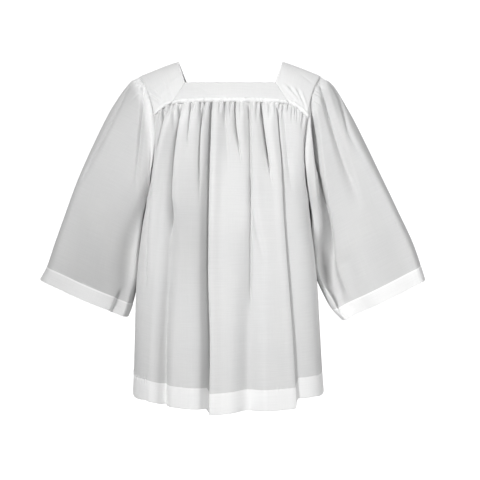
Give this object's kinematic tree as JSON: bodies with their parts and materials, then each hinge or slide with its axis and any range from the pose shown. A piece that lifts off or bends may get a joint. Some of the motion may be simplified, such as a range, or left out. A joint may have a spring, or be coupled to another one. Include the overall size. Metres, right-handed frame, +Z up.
{
  "type": "surplice",
  "caption": "Short white gathered surplice in its worn shape: square neck and yoke, full gathered body, wide bell sleeves and deep hems, hollow inside",
  "frame": {"origin": "middle of the shoulders, level with the neck points, where the wearer holds the garment up", "axes": "X across the shoulders, to the right as the front is seen; the front faces -Y; Z up"},
  "size_m": [0.9955, 0.3116, 0.8843],
  "materials": {
    "yoke_cloth": "matt doubled cotton",
    "body_cloth": "matt cotton, one layer",
    "sleeve_cloth": "matt cotton, one layer"
  },
  "bodies": {
    "root": {"yoke_front": "yoke_cloth", "yoke_back": "yoke_cloth", "yoke_left": "yoke_cloth", "yoke_right": "yoke_cloth", "body_front": "body_cloth", "body_back": "body_cloth", "sleeve_left": "sleeve_cloth", "sleeve_right": "sleeve_cloth"}
  },
  "joints": []
}
